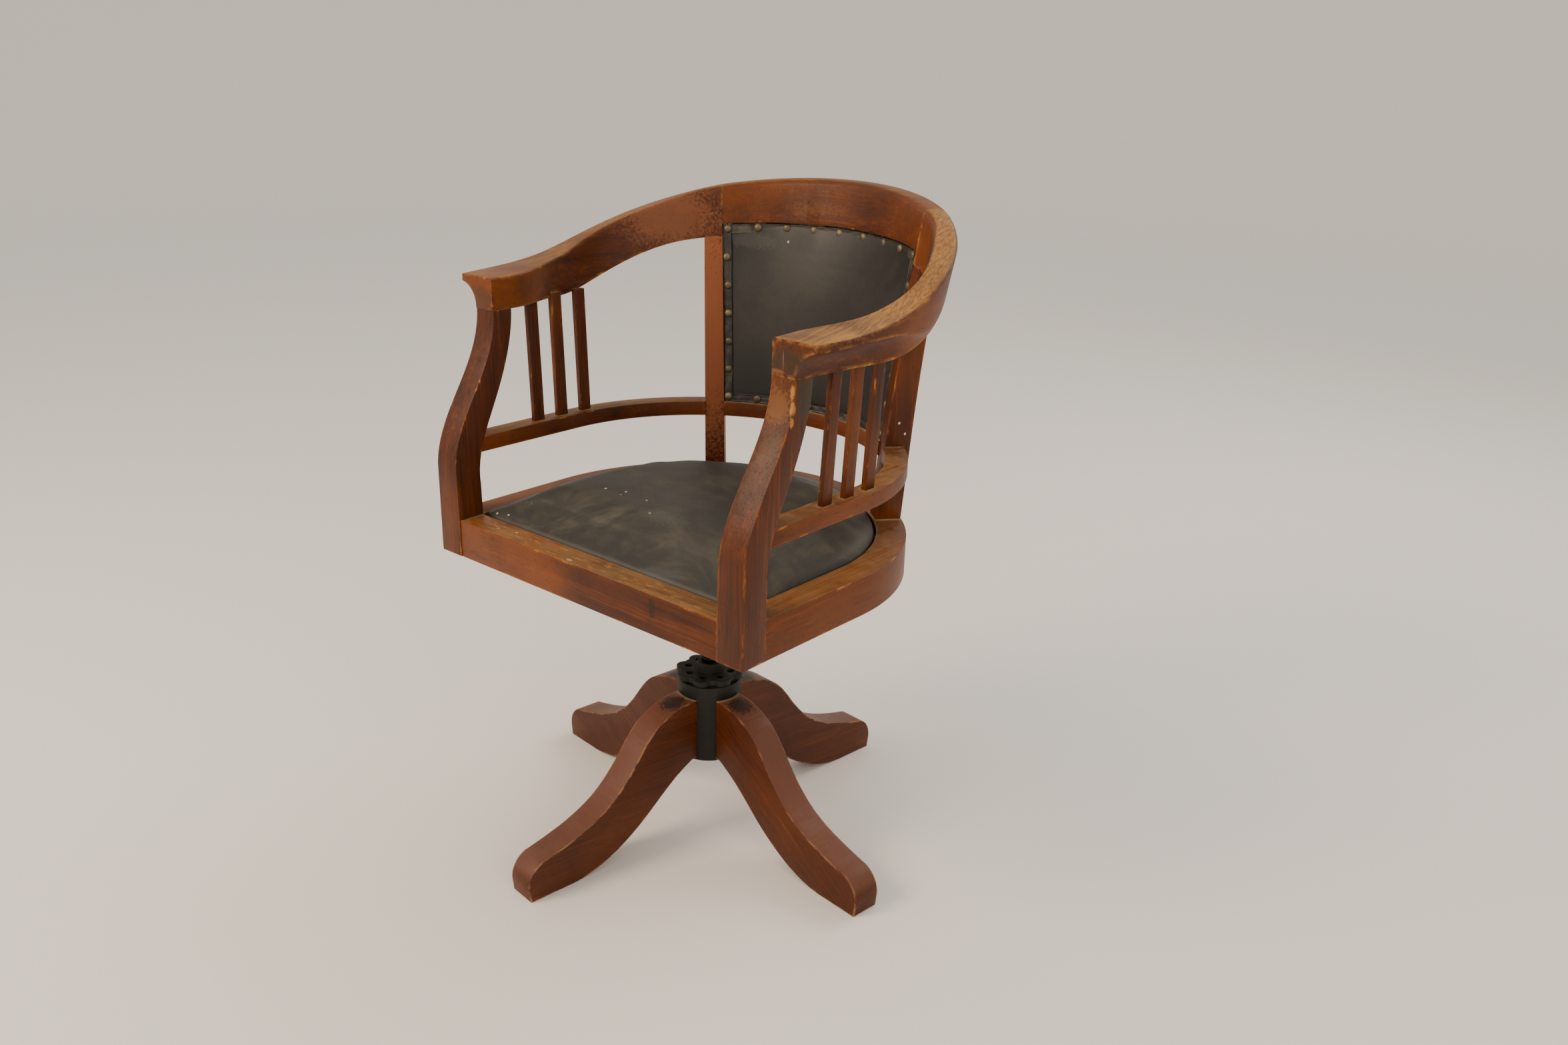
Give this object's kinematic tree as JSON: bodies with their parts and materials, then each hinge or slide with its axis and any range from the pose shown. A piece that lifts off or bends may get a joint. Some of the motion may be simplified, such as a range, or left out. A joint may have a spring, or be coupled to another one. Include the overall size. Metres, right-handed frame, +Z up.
{
  "type": "swivel chair",
  "caption": "Oak desk chair with a horseshoe arm and crest rail, slatted sides, padded back panel and domed seat, on a screw lift over a legged wooden base.",
  "frame": {"origin": "on the floor, on the swivel axis, which is the centre of the box's bottom face", "axes": "+Z up along the swivel axis, the sitter faces -Y, the sitter's left arm is at +X"},
  "size_m": [0.6816, 0.6816, 0.944],
  "materials": {
    "stained_oak": "dark reddish-brown stained and waxed oak, worn to orange and tan on its edges",
    "plain_oak": "plain oak, unfinished",
    "board": "plain board",
    "seat_leathercloth": "black leathercloth, dusty and softly creased",
    "back_leathercloth": "black leathercloth with a soft sheen",
    "cast_iron": "blackened cast iron, dusty",
    "turned_steel": "dark turned steel, oily"
  },
  "bodies": {
    "base": {"leg_1": "stained_oak", "leg_2": "stained_oak", "leg_3": "stained_oak", "leg_4": "stained_oak", "base_socket": "cast_iron", "tie_plate": "cast_iron", "leg_bolts": "turned_steel", "leg_nuts": "turned_steel", "guide_bush": "turned_steel", "thrust_washer": "turned_steel"},
    "handwheel": {"handwheel": "cast_iron"},
    "spindle": {"spindle": "turned_steel", "swivel_retaining_ring": "turned_steel"},
    "seat": {"side_seat_rail_right": "stained_oak", "side_seat_rail_left": "stained_oak", "back_seat_rail": "stained_oak", "front_seat_rail": "stained_oak", "front_post_right": "stained_oak", "front_post_left": "stained_oak", "rear_post_right": "stained_oak", "rear_post_left": "stained_oak", "arm_right": "stained_oak", "arm_left": "stained_oak", "crest_rail": "stained_oak", "middle_rail_right": "stained_oak", "middle_rail_back": "stained_oak", "middle_rail_left": "stained_oak", "arm_slat_right_1": "stained_oak", "arm_slat_right_2": "stained_oak", "arm_slat_right_3": "stained_oak", "arm_slat_left_1": "stained_oak", "arm_slat_left_2": "stained_oak", "arm_slat_left_3": "stained_oak", "frame_dowels": "plain_oak", "back_board": "board", "back_outside_cover": "back_leathercloth", "back_edging": "back_leathercloth", "back_pad": "back_leathercloth", "seat_board": "board", "seat_cushion": "seat_leathercloth", "seat_bearer_left": "plain_oak", "seat_bearer_right": "plain_oak", "corner_block_right": "plain_oak", "corner_block_left": "plain_oak", "seat_iron": "cast_iron", "seat_iron_screws": "turned_steel"}
  },
  "joints": [
    {"name": "handwheel_turn", "type": "hinge", "parent": "base", "child": "handwheel", "pos_m": [0, 0, 0.243], "axis": [0, 0, 1], "range_deg": [-1441, 3601]},
    {"name": "spindle_lift", "type": "slide", "parent": "base", "child": "spindle", "axis": [0, 0, 1], "range_m": [-0.08, 0.032]},
    {"name": "seat_swivel", "type": "hinge", "parent": "spindle", "child": "seat", "pos_m": [0, 0, 0.42], "axis": [0, 0, 1], "continuous": true}
  ],
  "couplings": [
    {"joint": "handwheel_turn", "follows": "spindle_lift", "rad_per_m": -785.4}
  ]
}
